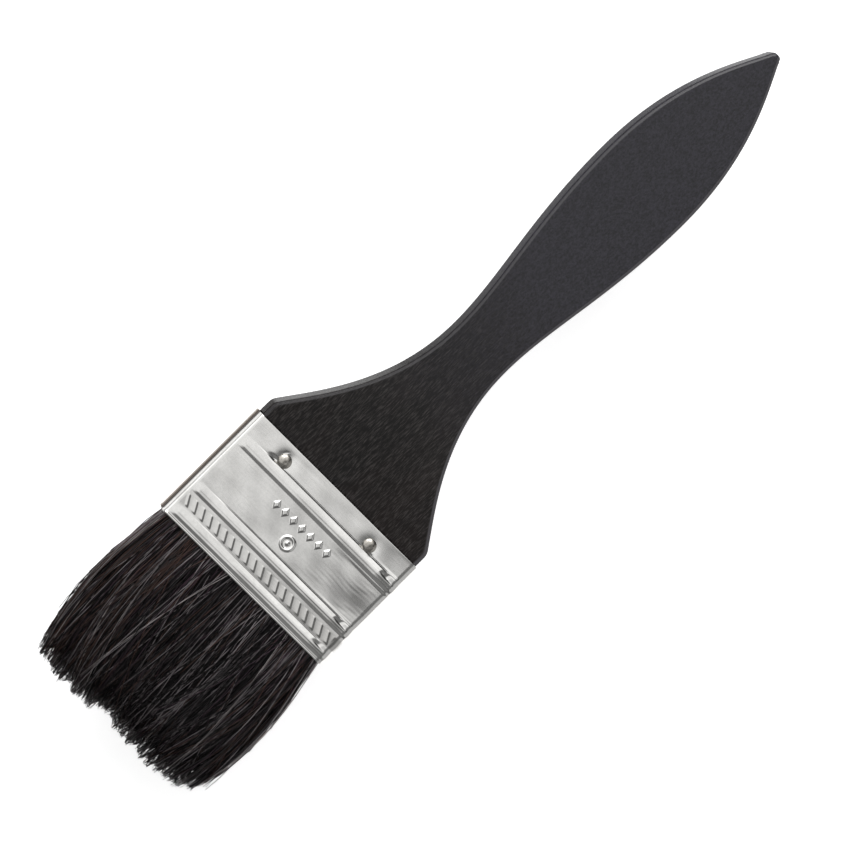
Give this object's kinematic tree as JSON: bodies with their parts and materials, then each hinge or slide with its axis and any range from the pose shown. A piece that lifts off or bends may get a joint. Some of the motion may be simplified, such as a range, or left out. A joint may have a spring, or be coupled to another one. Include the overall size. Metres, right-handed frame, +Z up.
{
  "type": "flat varnish brush",
  "caption": "Flat two-inch brush: a black wooden handle, a ribbed tinned ferrule nailed to its tenon, and dark bristles set in cement around a plug.",
  "frame": {"origin": "centre of the whole brush in X and Y, on the surface it lies on", "axes": "+Y along the brush from the bristles to the handle's tip, +X across the width, +Z up through the thickness towards the front face"},
  "size_m": [0.055, 0.218, 0.01],
  "materials": {
    "handle_paint": "satin black paint over close-grained wood",
    "tinplate": "bright tinned sheet with fine scratches",
    "nail_steel": "dull steel",
    "cement": "cured amber epoxy",
    "plug_wood": "raw sawn softwood",
    "bristle": "black bristle with brown and grey strays"
  },
  "bodies": {
    "stock": {"handle": "handle_paint", "ferrule": "tinplate", "nail_front_left": "nail_steel", "nail_front_right": "nail_steel", "nail_back_left": "nail_steel", "nail_back_right": "nail_steel", "cement_setting": "cement", "filler_plug": "plug_wood", "bristle_roots_front": "bristle", "bristle_roots_back": "bristle"},
    "tuft": {"bristles_front": "bristle", "bristles_back": "bristle"}
  },
  "joints": [
    {"name": "bristle_flex", "type": "hinge", "parent": "stock", "child": "tuft", "pos_m": [0, -0.0651, 0.005], "axis": [1, 0, 0], "range_deg": [-35, 35], "stiffness_Nm_per_rad": 0.4}
  ]
}
